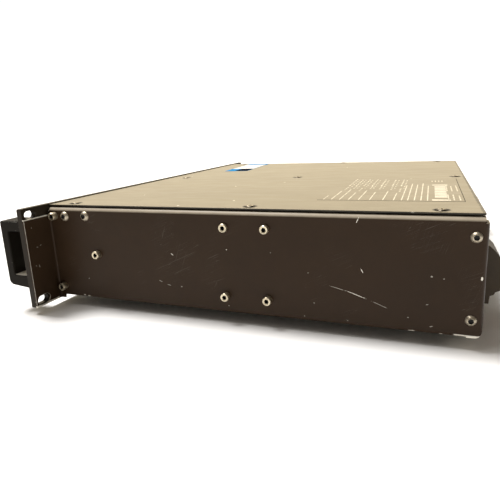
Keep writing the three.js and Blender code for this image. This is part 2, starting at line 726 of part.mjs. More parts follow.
// A moulded block, sloping above and stepped below, with two hollow studs.
function outputBlock() {
  const side = new THREE.Shape();
  side.moveTo(REAR_FACE, 60);
  side.lineTo(POST_FACE - 8.5, 57.5);
  side.lineTo(POST_FACE - 2.5, 51.5);
  side.lineTo(POST_FACE, 46.5);
  side.lineTo(POST_FACE, 25);
  side.lineTo(POST_FACE - 3.2, 23.5);
  side.lineTo(POST_FACE - 4, 21.5);
  side.lineTo(POST_FACE - 6.5, 20.5);
  side.lineTo(POST_FACE - 7, 14.5);
  side.lineTo(REAR_FACE, 14.5);
  const body = slabYZ(side, span(0, OUTPUT_WIDTH));
  const boss = block(span(0, 31), [REAR_WALL[0] - 5, REAR_FACE + 1], span(OUTPUT_Z, 15));
  const at = [-POST_PITCH / 2, POST_PITCH / 2];
  const studs = at.map((x) => rod("y", 3, [POST_FACE - 1, POST_FACE + 11], [x, OUTPUT_Z], 12));
  const bores = at.map((x) => rod("y", 2, [POST_FACE + 3, POST_FACE + 12], [x, OUTPUT_Z], 10));
  return cut(join(body, boss, ...studs), ...bores);
}

// A round cap open right through, about the post's axis, from its inner face.
function bindingCap() {
  const far = CAP_LENGTH;
  return turned([[3.5, 0], [6.6, 0], [8, 3], [8, far - 1], [7.2, far], [3.5, far], [3.5, 0]], 16);
}

// ---- the assembly ----

add("front_panel", frontPanel(), "panel");
add("handle_right", handle(), "handle");
add("handle_left", handle(), "handle").scale.x = -1;
add("side_panel_right", sidePanel(), "case");
add("side_panel_left", sidePanel(), "case").scale.x = -1;
add("bottom_plate", bottomPlate(), "plate");
add("top_cover", topCover(), "case");
add("front_rail", frontRail(), "plate");
add("centre_brace", centreBrace(), "plate");
add("rear_panel", rearPanel(), "case");

for (const [place, [x, y]] of Object.entries(COVER_SCREWS)) {
  add(`cover_screw_${place}`, coverScrew(), "screw", [x, y, COVER_TOP - DIMPLE_DEPTH]);
}

for (const [side, x] of [["left", -FOOT_X], ["right", FOOT_X]]) {
  add(`foot_front_${side}`, foot(), "rubber", [x, FOOT_Y[0], FLOOR]);
  add(`foot_rear_${side}`, foot(), "rubber", [x, FOOT_Y[1], FLOOR]);
}

for (const [channel, x] of Object.entries(KNOB_X)) {
  const knobBack = -PANEL_THICK - 0.6;
  const potFront = GAP + THIN_SHEET + GAP;
  add(`gain_knob_${channel}`, gainKnob(), "black_plastic", [x, knobBack, KNOB_Z]);
  const shaft = rod("y", 3, [knobBack - 10, potFront + 6], [0, 0], 16);
  add(`gain_shaft_${channel}`, shaft, "aluminium", [x, 0, KNOB_Z]);
  add(`gain_pot_${channel}`, gainPot(), "plate", [x, potFront, KNOB_Z]);
  add(`indicator_lens_${channel}`, indicatorLens(), "lens", [x + LENS_OFFSET, 0, KNOB_Z]);
}

add("power_switch_case", switchCase(), "black_plastic", [ROCKER.x, 0, ROCKER.z]);
const rockerMesh = add("power_rocker", rocker(), "red_plastic", [ROCKER.x, -PANEL_THICK, ROCKER.z]);
rockerMesh.rotation.x = THREE.MathUtils.degToRad(-ROCKER.tilt);

add("transformer", toroid(), "winding", [TOROID.x, TOROID.y, 0]);
add("transformer_clamp", toroidClamp(), "plate", [TOROID.x, TOROID.y, 0]);
add("heatsink_a", heatsink(), "aluminium", [FAN.x, 0, 0]);
add("heatsink_b", heatsink(), "aluminium", [FAN.x, 0, 0]).scale.x = -1;
add("power_board", boardOnPosts([40, 200], [24, 160], [[185, 120, 16, 40, 14]]), "board");
add("capacitor_positive", capacitor(), "capacitor", [72, 92, INSIDE_FLOOR + 8 + 1.6 + GAP]);
add("capacitor_negative", capacitor(), "capacitor", [136, 92, INSIDE_FLOOR + 8 + 1.6 + GAP]);
add("rectifier", rectifier(), "black_plastic", [0, 100, INSIDE_FLOOR]);
const boardA = boardOnPosts([80, 203], TUNNEL_Y, [[90, 250, 14, 60, 22], [150, 270, 30, 20, 10]]);
const boardB = boardOnPosts([-203, -24], TUNNEL_Y, [[-36, 250, 14, 60, 22], [-120, 270, 30, 20, 10]]);
add("amplifier_board_a", boardA, "board");
add("amplifier_board_b", boardB, "board");
add("input_board", inputBoard(), "board");

const fanFront = REAR_WALL[0] - GAP - FAN.depth;
add("fan_frame", fanFrame(), "black_plastic", [FAN.x, fanFront, FAN.z]);
add("fan_rotor", fanRotor(), "black_plastic", [FAN.x, fanFront + 14, FAN.z]);
add("fan_guard", fanGuard(), "screw", [FAN.x, REAR_FACE, FAN.z]);

for (const [channel, x] of Object.entries(SOCKET_X)) {
  add(`input_socket_${channel}`, inputSocket(), "black_plastic", [x, REAR_FACE, SOCKET_Z]);
}
add("mode_switch", modeSwitch(), "plate", [SWITCH.x, 0, SWITCH.z]);
add("mode_slider", modeSlider(), "black_plastic", [SWITCH.x - SWITCH.travel / 2, 0, SWITCH.z]);
add("breaker", breakerBody(), "black_plastic", [BREAKER.x, REAR_FACE, BREAKER.z]);
add("breaker_button", breakerButton(), "red_plastic", [BREAKER.x, REAR_FACE, BREAKER.z]);
add("mains_inlet", mainsInlet(), "black_plastic", [INLET.x, REAR_FACE, INLET.z]);

for (const [channel, x] of Object.entries(OUTPUT_X)) {
  add(`output_block_${channel}`, outputBlock(), "black_plastic", [x, 0, 0]);
  for (const [sign, side, finish] of [["plus", 1, "red_plastic"], ["minus", -1, "black_plastic"]]) {
    const post = [x + (side * POST_PITCH) / 2, POST_FACE + GAP, OUTPUT_Z];
    add(`binding_cap_${channel}_${sign}`, bindingCap(), finish, post);
  }
}

export default root;
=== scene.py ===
"""A worn two-unit rack power amplifier on a white floor, seen from its right and a little above.

Places are millimetres from the rack panel: x right of its middle, y behind the plane where it meets
the rack, and z above its lower edge. at() turns them into metres in the frame's own coordinates.
"""

import math
import random

import bmesh
import bpy
from mathutils import Euler, Matrix, Vector


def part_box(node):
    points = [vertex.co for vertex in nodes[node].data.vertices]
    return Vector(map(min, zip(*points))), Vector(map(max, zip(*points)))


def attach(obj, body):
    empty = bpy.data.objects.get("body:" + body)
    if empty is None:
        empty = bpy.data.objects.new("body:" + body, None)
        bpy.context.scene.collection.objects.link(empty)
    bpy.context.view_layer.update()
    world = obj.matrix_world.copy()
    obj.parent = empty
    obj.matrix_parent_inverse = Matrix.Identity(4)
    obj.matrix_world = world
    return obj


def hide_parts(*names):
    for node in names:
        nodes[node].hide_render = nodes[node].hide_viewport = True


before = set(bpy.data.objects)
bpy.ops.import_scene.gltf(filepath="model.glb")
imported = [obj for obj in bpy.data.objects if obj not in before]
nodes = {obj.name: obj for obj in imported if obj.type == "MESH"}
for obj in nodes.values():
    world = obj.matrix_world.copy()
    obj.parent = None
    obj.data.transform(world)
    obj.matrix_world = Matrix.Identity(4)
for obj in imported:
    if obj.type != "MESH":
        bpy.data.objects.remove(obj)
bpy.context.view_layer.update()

scene = bpy.context.scene

MM = 0.001
PANEL_LOW, PANEL_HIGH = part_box("front_panel")
DATUM = Vector((0, PANEL_HIGH.y, PANEL_LOW.z))

RIGHT, UP = Vector((1, 0, 0)), Vector((0, 0, 1))


def at(x, y, z):
    """The point in metres at these millimetres from the rack panel."""
    return DATUM + Vector((x, y, z)) * MM


def reach(node):
    """The lowest and highest corner of a CAD node, in millimetres from the rack panel."""
    return [(corner - DATUM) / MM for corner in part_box(node)]


def middle(node):
    low, high = reach(node)
    return (low + high) / 2


# The faces that pieces, chips and wear are placed on, then the heights of an ear's lower and upper edges.
COVER_TOP = 87.3
SIDE_FACE = 212.5
EAR_FACE = 1.5
PANEL_FACE = reach("front_panel")[0].y
REAR_FACE = 353.0
EAR_HEIGHT = (0.5, 78.8)

# ---- shapes ----


def facing(point, direction, spin=0):
    """The place of a shape drawn in millimetres about its Z axis, once Z points the given way."""
    turn = Vector(direction).to_track_quat("Z", "Y").to_matrix().to_4x4()
    return Matrix.Translation(point) @ turn @ Matrix.Rotation(spin, 4, "Z") @ Matrix.Scale(MM, 4)


def flat_on_top(x, y, z, spin=0):
    """The place of a flat shape that lies on the cover with its own X along the cover's X."""
    return Matrix.Translation(at(x, y, z)) @ Matrix.Rotation(spin, 4, "Z") @ Matrix.Scale(MM, 4)


def on_panel(x, z, y=PANEL_FACE):
    """The place of a shape on the front panel: X to the viewer's right, Y up and Z towards the viewer."""
    return Matrix.Translation(at(x, y, z)) @ Matrix.Rotation(math.pi / 2, 4, "X") @ Matrix.Scale(MM, 4)


def on_rear(x, z, y=REAR_FACE):
    """The place of a shape on the rear panel: X to the viewer's right, Y up and Z towards the viewer."""
    about = Matrix.Rotation(math.pi, 4, "Z") @ Matrix.Rotation(math.pi / 2, 4, "X")
    return Matrix.Translation(at(x, y, z)) @ about @ Matrix.Scale(MM, 4)


def bridge(mesh, loops, closed=False):
    """Faces between loops of equally many points. An open run is closed with a face at each end."""
    count = len(loops[0])
    pairs = list(zip(loops, loops[1:]))
    if closed:
        pairs.append((loops[-1], loops[0]))
    for lower, upper in pairs:
        for i in range(count):
            j = (i + 1) % count
            mesh.faces.new((lower[i], lower[j], upper[j], upper[i]))
    if not closed:
        mesh.faces.new(list(reversed(loops[0])))
        mesh.faces.new(loops[-1])


def turned(mesh, place, rings, sides, hollow=False, dark=0):
    """A body of rings about Z. Each ring is (radius, height), where a radius may depend on the angle.

    A hollow body's last ring joins its first. In a closed one, the end face and as many of the last bands
    as dark says take the second finish.
    """
    loops = []
    before = len(mesh.faces)
    for outline, height in rings:
        loop = []
        for i in range(sides):
            angle = math.tau * i / sides
            radius = outline(angle) if callable(outline) else outline
            point = Vector((radius * math.cos(angle), radius * math.sin(angle), height))
            loop.append(mesh.verts.new(place @ point))
        loops.append(loop)
    bridge(mesh, loops, closed=hollow)
    if dark:
        mesh.faces.ensure_lookup_table()
        made = mesh.faces[before:]
        for face in [*made[-2 - sides * dark:-2], made[-1]]:
            face.material_index = 1


def torus(mesh, place, ring, wire, around):
    """A closed ring of round wire about Z, with a number of steps around it."""
    sides = 10
    loops = []
    for i in range(around):
        turn = math.tau * i / around
        loop = []
        for k in range(sides):
            angle = math.tau * k / sides
            radius = ring + wire * math.cos(angle)
            point = Vector((radius * math.cos(turn), radius * math.sin(turn), wire * math.sin(angle)))
            loop.append(mesh.verts.new(place @ point))
        loops.append(loop)
    bridge(mesh, loops, closed=True)


def prism(mesh, place, outline, low, high):
    """An outline in X and Y, counter-clockwise, thickened along Z."""
    loops = [[mesh.verts.new(place @ Vector((u, v, height))) for u, v in outline] for height in (low, high)]
    bridge(mesh, loops)


def rectangle(width, height, radius=0.0, middle_u=0.0, middle_v=0.0):
    """The outline of a rectangle about a point, with round corners if a radius is given."""
    steps = 4 if radius else 0
    points = []
    for quarter, (su, sv) in enumerate([(1, 1), (-1, 1), (-1, -1), (1, -1)]):
        for i in range(steps + 1):
            angle = math.pi / 2 * (quarter + (i / steps if steps else 0))
            u = su * (width / 2 - radius) + radius * math.cos(angle)
            v = sv * (height / 2 - radius) + radius * math.sin(angle)
            points.append((middle_u + u, middle_v + v))
    return points


def tilted_bar(u, v, length, thick, angle):
    """The outline of a bar that starts at (u, v) and runs along an angle."""
    along = Vector((math.cos(angle), math.sin(angle)))
    across = Vector((-along.y, along.x)) * thick / 2
    start = Vector((u, v))
    end = start + along * length
    return [tuple(p) for p in (start - across, end - across, end + across, start + across)]


def hexagon(flats):
    """The radius of a hexagon at an angle, from its width across flats."""

    def radius(angle):
        return flats / 2 / math.cos((angle + math.pi / 6) % (math.pi / 3) - math.pi / 6)

    return radius


def cross(arm, half_width):
    """The radius at an angle of a cross-shaped recess."""

    def radius(angle):
        c, s = max(1e-6, abs(math.cos(angle))), max(1e-6, abs(math.sin(angle)))
        return max(min(arm / c, half_width / s), min(arm / s, half_width / c))

    return radius


def ribbed(radius, depth, count):
    """A round outline with a number of shallow round grooves."""

    def at_angle(angle):
        return radius - depth * (0.5 - 0.5 * math.cos(count * angle))

    return at_angle


def piece(name, mesh, finish, body="chassis", replaces=(), sharp=35):
    """Makes one piece of the visual model from a mesh, riding on a body of the frame.

    The finish is one material or a list of them. Edges that turn by more than sharp degrees stay sharp.
    """
    bmesh.ops.recalc_face_normals(mesh, faces=mesh.faces)
    data = bpy.data.meshes.new(name)
    mesh.to_mesh(data)
    mesh.free()
    for part in finish if isinstance(finish, list) else [finish]:
        data.materials.append(part)
    data.shade_smooth()
    data.set_sharp_from_angle(angle=math.radians(sharp))
    made = bpy.data.objects.new(name, data)
    scene.collection.objects.link(made)
    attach(made, body)
    if replaces:
        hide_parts(*replaces)


def round_edges(made, width):
    """A small bevel on a shape's sharp edges, with flat faces that stay flat."""
    bevel = made.modifiers.new("rounded", "BEVEL")
    bevel.width = width * MM
    bevel.segments = 2
    bevel.limit_method = "ANGLE"
    bevel.angle_limit = math.radians(40)
    bevel.harden_normals = True
    weigh = made.modifiers.new("flat_faces", "WEIGHTED_NORMAL")
    weigh.keep_sharp = True


def soften(node, width):
    """Joins a CAD node's triangles into whole faces, then rounds its edges if a width is given."""
    made = nodes[node]
    layer = made.data.attributes.get("custom_normal")
    if layer:
        made.data.attributes.remove(layer)
    made.data.shade_smooth()
    weld = made.modifiers.new("weld", "WELD")
    weld.merge_threshold = 0.01 * MM
    faces = made.modifiers.new("faces", "DECIMATE")
    faces.decimate_type = "DISSOLVE"
    faces.angle_limit = math.radians(0.5)
    if width:
        round_edges(made, width)


# ---- finishes ----


class Finish:
    """One procedural material. Its own coordinates are millimetres from the rack panel."""

    def __init__(self, name, **uniform):
        self.material = bpy.data.materials.new(name)
        self.material.use_nodes = True
        self.tree = self.material.node_tree
        self.shader = self.tree.nodes["Principled BSDF"]
        for socket, value in uniform.items():
            self.shader.inputs[socket.replace("_", " ")].default_value = value
        spot = self.node("TexCoord", "Object")
        shifted = self.node("VectorMath", "Vector", {0: spot, 1: tuple(DATUM)}, operation="SUBTRACT")
        self.place = self.node("VectorMath", "Vector", {0: shifted, "Scale": 1 / MM}, operation="SCALE")

    def node(self, kind, output, inputs=None, **settings):
        """Adds a node with these settings, feeds its inputs with values or outputs, and gives one output."""
        made = self.tree.nodes.new("ShaderNode" + kind)
        for key, value in settings.items():
            setattr(made, key, value)
        for key, value in (inputs or {}).items():
            if isinstance(value, bpy.types.NodeSocket):
                self.tree.links.new(value, made.inputs[key])
            else:
                made.inputs[key].default_value = value
        return made.outputs[output]

    def feed(self, **sockets):
        for socket, value in sockets.items():
            self.tree.links.new(value, self.shader.inputs[socket.replace("_", " ")])

    def calc(self, operation, a, b=0.0):
        return self.node("Math", 0, {0: a, 1: b}, operation=operation)

    def ramp(self, value, start, end, low=0.0, high=1.0):
        """A value's way from start to end, as a way from low to high."""
        inputs = {"Value": value, "From Min": start, "From Max": end, "To Min": low, "To Max": high}
        return self.node("MapRange", "Result", inputs)

    def mix(self, factor, a, b):
        a, b = [(*c, 1) if isinstance(c, tuple) and len(c) == 3 else c for c in (a, b)]
        return self.node("Mix", 2, {0: factor, 6: a, 7: b}, data_type="RGBA")

    def noise(self, size, detail=3.0, rough=0.55, stretch=(1, 1, 1), turn=(0, 0, 0), w=0.0):
        """Smooth noise with features of about this size, drawn out along each axis by its stretch.

        Each w gives another pattern.
        """
        inputs = {"Vector": self.place, "Rotation": [math.radians(a) for a in turn], "Scale": stretch}
        where = self.node("Mapping", 0, inputs, vector_type="TEXTURE")
        inputs = {"Vector": where, "Scale": 1 / size, "Detail": detail, "Roughness": rough, "W": w}
        return self.node("TexNoise", "Fac", inputs, noise_dimensions="4D")

    def highest(self, *masks):
        total = masks[0]
        for mask in masks[1:]:
            total = self.calc("MAXIMUM", total, mask)
        return total

    def along(self, axis):
        return self.node("SeparateXYZ", "XYZ".index(axis), {"Vector": self.place})

    def edge(self, radius):
        """Near 1 within a radius of a shape's convex and hollow edges, and 0 on its faces."""
        soft = self.node("Bevel", "Normal", {"Radius": radius * MM}, samples=6)
        hard = self.node("NewGeometry", "Normal")
        same = self.node("VectorMath", "Value", {0: soft, 1: hard}, operation="DOT_PRODUCT")
        return self.ramp(same, 0.995, 0.93)

    def chips(self, cell, largest, share, w=0.0):
        """Scattered ragged spots. A share of the cells, each about this many mm wide, has one."""
        ragged = self.noise(0.9, 2, 0.6, w=w)
        inputs = {"Vector": self.place, "Scale": 1 / cell, "W": w}
        distance = self.node("TexVoronoi", "Distance", inputs, voronoi_dimensions="4D")
        own_number = self.node("SeparateColor", "Red", {"Color": distance.node.outputs["Color"]})
        radius = self.ramp(own_number, 1 - share, 1, 0, largest / cell)
        wobble = self.ramp(ragged, 0.3, 0.7, -0.8 / cell, 0.8 / cell)
        inside = self.calc("SUBTRACT", self.calc("ADD", radius, wobble), distance)
        return self.calc("MULTIPLY", self.ramp(inside, 0, 0.15 / cell), self.ramp(radius, 0, 0.05 / cell))

    def scratches(self, length, turn, share, w=0.0):
        """Long hairlines in one direction, shown in a share of the places."""
        stretch = [length, 1, length] if abs(turn[2]) > 0 else [length, length, 1]
        lines = self.noise(1.2, 1, 0.5, stretch=stretch, turn=turn, w=w)
        fine = self.calc("ABSOLUTE", self.calc("SUBTRACT", lines, 0.5))
        shown = self.ramp(self.noise(38, 2, 0.6, w=w + 3), 1 - share, 1.06 - share)
        return self.calc("MULTIPLY", self.ramp(fine, 0.006, 0.0024), shown)

    def marks(self, spots, normal, face):
        """Listed spots on the face at this place along its normal, an axis.

        Each is (the two places across the normal, half length, half width, turn in degrees). Its length
        runs along the axis after the normal, in the order X, Y, Z, X, before the turn.
        """
        nearest = None
        axis = "XYZ".index(normal)
        for *place, length, width, turn in spots:
            place.insert(axis, face)
            size = [width] * 3
            size[axis] = 40.0
            size[(axis + 1) % 3] = length
            rotation = [0.0] * 3
            rotation[axis] = math.radians(turn)
            inputs = {"Vector": self.place, "Location": place, "Rotation": rotation, "Scale": size}
            local = self.node("Mapping", 0, inputs, vector_type="TEXTURE")
            distance = self.node("VectorMath", "Value", {0: local}, operation="LENGTH")
            nearest = distance if nearest is None else self.calc("MINIMUM", nearest, distance)
        ragged = self.calc("MULTIPLY", self.noise(0.8, 2, 0.6, w=1.7), 1.6)
        return self.ramp(self.calc("ADD", nearest, ragged), 1.75, 1.55)

    def bump(self, height, depth):
        """Relief as deep as this many millimetres from the lowest height to the highest."""
        return self.node("Bump", "Normal", {"Height": height, "Distance": depth * MM, "Strength": 1.0})


def shade(colour, factor):
    return tuple(channel * factor for channel in colour)


BARE_METAL = (0.84, 0.8, 0.7)
PRIMER = (0.55, 0.52, 0.47)
# A pale film on upward faces: dust, and a painted sheen that stands in for the light they catch.
DUST_AND_SHEEN = (0.4, 0.345, 0.265)
# Near-black for painted shade on the cover, and for a darker band along its rear rim.
SHADE_AND_RIM_DARK = (0.012, 0.009, 0.006)


def painted(name, colour, roughness=0.42, chip_share=0.25, marks=(), worn=None, worn_edges=0.35,
            dust_and_sheen=0.0, mottle=0.12, grain=(1, 1, 1), ior=1.22, hairs=0.1, shade_and_rim=None):
    """Smooth oven paint on steel: faint mottling, dust that is also a painted sheen on upward faces,
    hairlines, chips and edges worn to the metal.

    Each of the marks is (spots, normal, face, strength). worn and shade_and_rim are functions of the finish
    that
    give masks: a list where the metal is bare, and one where the colour is darkened as painted shade and
    along a rim.
    """
    finish = Finish(name, IOR=ior)
    tone = finish.ramp(finish.noise(70, 3, 0.6, stretch=grain), 0.3, 0.7)
    base = finish.mix(tone, shade(colour, 1 - mottle), shade(colour, 1 + mottle))
    streak = finish.ramp(finish.noise(9, 4, 0.65, stretch=grain, w=2.0), 0.35, 0.75)
    base = finish.mix(finish.calc("MULTIPLY", streak, 0.25), base, shade(colour, 1.5))
    # Upward faces take the pale film: partly dust, partly a painted sheen for the light that falls on them.
    if dust_and_sheen:
        up = finish.node("SeparateXYZ", "Z", {"Vector": finish.node("NewGeometry", "Normal")})
        lying = finish.ramp(up, 0.15, 0.5)
        film = finish.calc("MULTIPLY", lying, finish.ramp(streak, 0, 1, dust_and_sheen * 0.8, dust_and_sheen))
        base = finish.mix(film, base, DUST_AND_SHEEN)
    # Painted shade: the colour is darkened where the mask says.
    if shade_and_rim:
        base = finish.mix(shade_and_rim(finish), base, SHADE_AND_RIM_DARK)
    lines = finish.highest(
        finish.scratches(60, (24, 0, 0), 0.42),
        finish.scratches(45, (-17, 0, 31), 0.36, w=8.0),
    )
    base = finish.mix(finish.calc("MULTIPLY", lines, hairs), base, PRIMER)
    chips = finish.chips(21, 1.1, chip_share)
    flecks = finish.chips(6.5, 0.4, chip_share * 0.25, w=5.0)
    start = 0.66 - worn_edges * 0.4
    rubbed = finish.calc(
        "MULTIPLY", finish.edge(0.8), finish.ramp(finish.noise(8, 4, 0.7, w=6.0), start, start + 0.04)
    )
    placed = [
        finish.calc("MULTIPLY", finish.marks(spots, normal, face), strength)
        for spots, normal, face, strength in marks
    ]
    holes = finish.highest(chips, flecks, *placed)
    bare = finish.highest(holes, rubbed, *(worn(finish) if worn else []))
    relief = finish.calc("SUBTRACT", finish.calc("MULTIPLY", finish.noise(1.1, 2, 0.5, w=4.0), 0.02),
                         finish.calc("MULTIPLY", holes, 0.05))
    finish.feed(
        Base_Color=finish.mix(bare, base, BARE_METAL),
        Metallic=finish.calc("MULTIPLY", bare, 0.2),
        Roughness=finish.calc("SUBTRACT", finish.ramp(streak, 0, 1, roughness - 0.04, roughness + 0.06),
                              finish.calc("MULTIPLY", bare, 0.08)),
        Normal=finish.bump(relief, 1.0),
    )
    return finish.material


def metal(name, colour, roughness, grain=(1, 1, 1), grain_size=0.7, tarnish=(0.28, 0.2, 0.12), stain=0.3):
    """Plated or bare metal with a fine grain, duller and darker in patches."""
    finish = Finish(name, Metallic=0.95)
    patch = finish.ramp(finish.noise(6, 4, 0.65, w=1.0), 0.42, 0.72)
    fine = finish.noise(grain_size, 3, 0.6, stretch=grain, w=2.0)
    base = finish.mix(finish.ramp(fine, 0.3, 0.7), shade(colour, 0.86), shade(colour, 1.08))
    base = finish.mix(finish.calc("MULTIPLY", patch, stain), base, tarnish)
    finish.feed(
        Base_Color=base,
        Roughness=finish.ramp(patch, 0, 1, roughness, roughness + 0.22),
        Normal=finish.bump(fine, 0.012),
    )
    return finish.material


def moulded(name, colour, roughness=0.5, texture=0.6, depth=0.02, rubbed=0.5, ior=1.45):
    """Moulded plastic or rubber with a fine skin, paler where its edges are handled."""
    finish = Finish(name, IOR=ior)
    skin = finish.noise(texture, 2, 0.5, w=1.0)
    cloud = finish.ramp(finish.noise(13, 3, 0.6, w=2.0), 0.35, 0.7)
    base = finish.mix(cloud, shade(colour, 0.85), shade(colour, 1.2))
    pale = tuple(0.06 + channel * 1.25 for channel in colour)
    worn = finish.calc("MULTIPLY", finish.edge(0.5), finish.ramp(cloud, 0, 1, rubbed * 0.4, rubbed))
    finish.feed(
        Base_Color=finish.mix(worn, base, pale),
        Roughness=finish.ramp(cloud, 0, 1, roughness - 0.05, roughness + 0.08),
        Normal=finish.bump(skin, depth),
    )
    return finish.material


# The cover's colour is the sides' brown paint made lighter, partly as painted light on the cover's top.
COVER_LIT_BROWN = (0.12, 0.096, 0.05)
CASE_BROWN = (0.032, 0.0185, 0.0098)
PANEL_BROWN = (0.02, 0.0145, 0.009)
HANDLE_BROWN = (0.0085, 0.0065, 0.004)

# Chips and scratches: (the two places across the face, half length, half width, turn in degrees).
SIDE_MARKS = [
    (124.3, 48.3, 1.7, 0.3, -35),
    (273, 81, 2.4, 0.3, 68),
    (276.5, 44.7, 2.2, 0.3, -62),
    (173, 54.9, 0.5, 0.4, 0),
    (28.8, 5.0, 1.2, 0.6, 0),
    (33.6, 4.6, 1.5, 0.6, 0),
    (273, 26.7, 8.0, 0.24, -19),
    (352.3, 44.8, 0.7, 1.4, 0),
    (310.5, 3.5, 2.6, 1.0, 0),
    (329.5, 3.6, 1.2, 0.7, 0),
]
FAINT_SIDE_MARKS = [
    (259, 30.7, 6.5, 0.24, -14),
    (289, 20.8, 6.5, 0.22, -22),
    (209, 54.5, 0.4, 0.35, 0),
    (111, 24.6, 1.7, 0.3, -20),
    (119, 21.8, 1.9, 0.3, -12),
    (130.7, 21.3, 0.7, 0.45, 0),
    (320, 24.1, 1.0, 0.25, 8),
    (322, 44.1, 0.8, 0.6, 0),
    (329.7, 43.1, 0.6, 0.3, 0),
    (266.5, 6.4, 0.5, 0.4, 0),
    (234.3, 6.6, 0.5, 0.4, 0),
    (308, 13.5, 0.5, 0.4, 0),
    (323, 8.5, 1.4, 0.4, 20),
    (36.3, 21.3, 0.8, 0.3, 30),
    (241.8, 17.7, 0.5, 0.35, 0),
    (172.4, 8.6, 0.5, 0.4, 0),
    (237.6, 40.7, 0.4, 0.35, 0),
]
EAR_MARKS = [
    (231.4, 53.3, 1.1, 0.25, 75),
    (227.6, 54.2, 1.0, 0.25, 110),
    (232.2, 36.5, 1.5, 0.3, 10),
    (235.5, 37.5, 0.7, 0.3, 40),
    (234.5, 71, 0.5, 0.4, 0),
]
COVER_MARKS = [
    (49.4, 171.1, 1.5, 1.3, 0),
    (174.8, 165.2, 1.6, 1.2, 20),
    (203.5, 128.2, 1.5, 1.1, 0),
    (84.3, 128.2, 1.6, 1.0, 30),
    (-15.4, 22.6, 1.4, 1.2, 0),
    (150, 60, 1.1, 0.8, 0),
    (-120, 210, 1.6, 0.9, 40),
    (20, 300, 1.2, 0.8, 0),
]


def side_wear(finish):
    """The right-hand side's own damage: the ear's edges worn bare, and the lower rear corner made bare and
    pale.
    """
    edges = finish.edge(0.45)
    ragged = finish.ramp(finish.noise(4, 3, 0.6, w=9.0), 0.15, 0.3)
    ear = finish.ramp(finish.calc("ABSOLUTE", finish.along("X")), SIDE_FACE + 2, SIDE_FACE + 3)
    height = finish.along("Z")
    behind = finish.ramp(finish.along("Y"), 337, 338)
    rear_low = finish.calc("MULTIPLY", behind, finish.ramp(height, 5.0, 4.5))
    low, high = EAR_HEIGHT
    ends = finish.highest(
        finish.ramp(height, low + 1.9, low + 1.5),
        finish.ramp(height, high - 0.9, high - 0.5),
    )
    ear_ends = finish.calc("MULTIPLY", ear, ends)
    outer = finish.calc("MULTIPLY", ear, finish.ramp(finish.along("Y"), 0.6, 0.9))
    worn = finish.calc("MULTIPLY", edges, finish.calc("MULTIPLY", outer, ragged))
    return [worn, rear_low, ear_ends]


def other_side_wear(finish):
    """The left ear's edges, worn bare in places."""
    edges = finish.edge(1.0)
    ragged = finish.ramp(finish.noise(4, 3, 0.6, w=12.0), 0.35, 0.5)
    ear = finish.ramp(finish.calc("ABSOLUTE", finish.along("X")), SIDE_FACE + 2, SIDE_FACE + 3)
    return [finish.calc("MULTIPLY", edges, finish.calc("MULTIPLY", ear, ragged))]


def cover_shade_and_rim(finish):
    """Painted shade in the hollow round each cover screw and on the sheet's cut edges, and a darker band
    along the rear rim.
    """
    spot = finish.node("VectorMath", "Vector", {0: finish.place, 1: (1, 1, 0)}, operation="MULTIPLY")
    nearest = None
    for node in nodes:
        if node.startswith("cover_screw"):
            screw = middle(node)
            inputs = {0: spot, 1: (screw.x, screw.y, 0)}
            distance = finish.node("VectorMath", "Value", inputs, operation="DISTANCE")
            nearest = distance if nearest is None else finish.calc("MINIMUM", nearest, distance)
    # Painted shade: the dimple round each screw is darkened.
    hollow = finish.ramp(nearest, 6.4, 5.6, 0, 0.95)
    up = finish.node("SeparateXYZ", "Z", {"Vector": finish.node("NewGeometry", "Normal")})
    rear = reach("top_cover")[1].y
    ragged = finish.ramp(finish.noise(5, 3, 0.6, w=15.0), 0.3, 0.7, 1.4, 2.6)
    rim = finish.ramp(finish.calc("ADD", finish.along("Y"), ragged), rear - 0.3, rear + 0.3, 0, 0.8)
    # Painted shade on faces that do not face up, such as the sheet's cut edges.
    return finish.highest(hollow, rim, finish.ramp(up, 0.6, 0.3, 0, 0.9))


def handle_pale_leg_tops(finish):
    """The lower legs' upper faces, made pale bare metal in patches."""
    up = finish.node("SeparateXYZ", "Z", {"Vector": finish.node("NewGeometry", "Normal")})
    inside = finish.calc("MULTIPLY", finish.ramp(up, 0.7, 0.9), finish.ramp(finish.along("Z"), 40, 38))
    return [finish.calc("MULTIPLY", inside, finish.ramp(finish.noise(5, 3, 0.6, w=3.0), 0.25, 0.4))]


case_right = painted("case_paint_right", CASE_BROWN, worn=side_wear,
                     marks=[
                         (SIDE_MARKS, "X", SIDE_FACE, 1.0),
                         (FAINT_SIDE_MARKS, "X", SIDE_FACE, 0.4),
                         (EAR_MARKS, "Y", EAR_FACE, 0.4),
                     ],
                     dust_and_sheen=0.9, chip_share=0.1, worn_edges=0.2, hairs=0.075)
case_left = painted("case_paint_left", CASE_BROWN, worn=other_side_wear, dust_and_sheen=0.9, chip_share=0.2)
case_rear = painted("case_paint_rear", CASE_BROWN, chip_share=0.2)
cover_paint = painted("cover_paint", COVER_LIT_BROWN, roughness=0.4, marks=[(COVER_MARKS, "Z", COVER_TOP, 0.7)],
                      dust_and_sheen=0.24, chip_share=0.06, mottle=0.09, grain=(1, 3.5, 1), worn_edges=0.1, ior=1.38,
                      shade_and_rim=cover_shade_and_rim)
panel_paint = painted("panel_paint", PANEL_BROWN, roughness=0.45, chip_share=0.15, worn_edges=0.08,
                      grain=(4, 1, 1))
handle_paint = painted("handle_paint", HANDLE_BROWN, roughness=0.65, chip_share=0.12, worn_edges=0.2,
                       worn=handle_pale_leg_tops)

zinc_sheet = metal("zinc_sheet", (0.6, 0.6, 0.57), roughness=0.35, grain_size=5, stain=0.15)
screw_steel = metal("screw_steel", (0.66, 0.59, 0.46), roughness=0.3)
bolt_steel = metal("bolt_steel", (0.64, 0.57, 0.42), roughness=0.3, stain=0.35)
dull_steel = metal("dull_steel", (0.46, 0.41, 0.32), roughness=0.4, stain=0.5)
